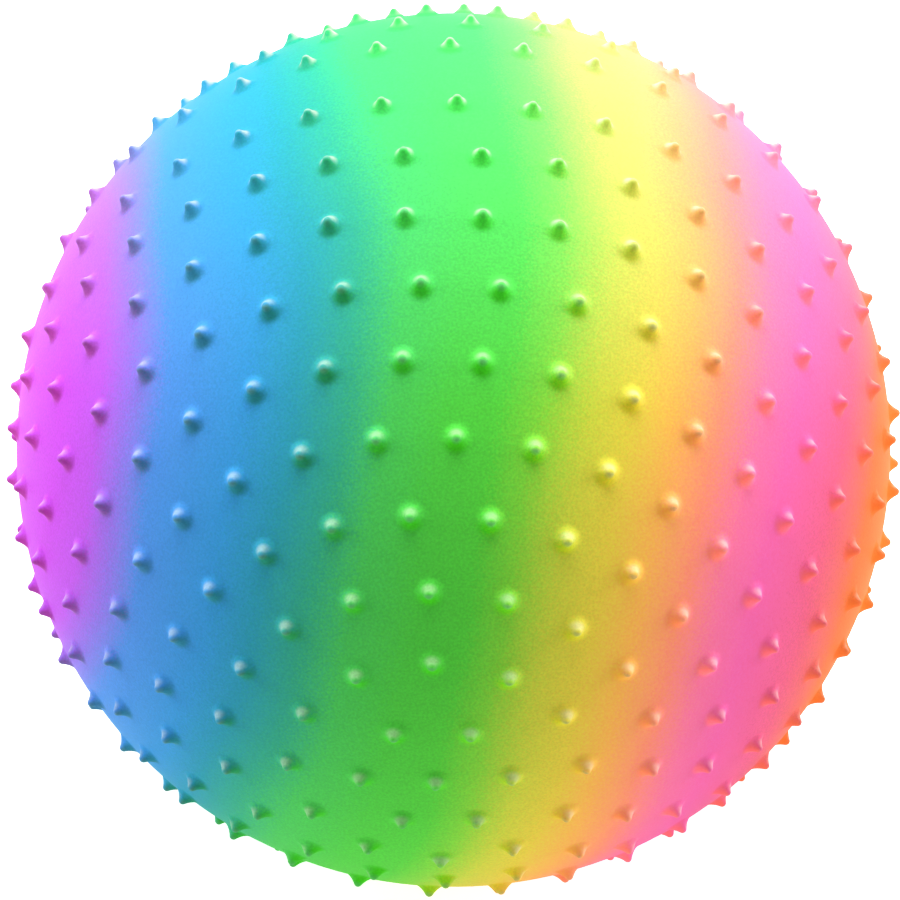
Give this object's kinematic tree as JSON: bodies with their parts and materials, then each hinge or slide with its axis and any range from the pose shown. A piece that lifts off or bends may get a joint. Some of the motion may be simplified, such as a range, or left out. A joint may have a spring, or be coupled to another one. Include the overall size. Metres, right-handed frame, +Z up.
{
  "type": "sensory ball",
  "caption": "Large inflatable ball of thin soft plastic, covered all over with soft pointed nubs in rings, with a recessed valve seat and a push-in stopper plug.",
  "frame": {"origin": "centre of the ball", "axes": "+Y along the valve's axis, out of the valve; +Z up; the pole of the rings of nubs is at -Y"},
  "size_m": [0.451, 0.4455, 0.451],
  "materials": {
    "skin": "satin soft vinyl with soft-edged spray bands from violet through blue, green and yellow to orange and pink",
    "valve_seat": "satin milky soft vinyl",
    "plug": "moulded white polyethylene, faintly grained"
  },
  "bodies": {
    "ball": {"skin": "skin", "valve_seat": "valve_seat"},
    "plug": {"plug": "plug"}
  },
  "joints": [
    {"name": "plug_slide", "type": "slide", "parent": "ball", "child": "plug", "axis": [0, 1, 0], "range_m": [0, 0.03]}
  ]
}
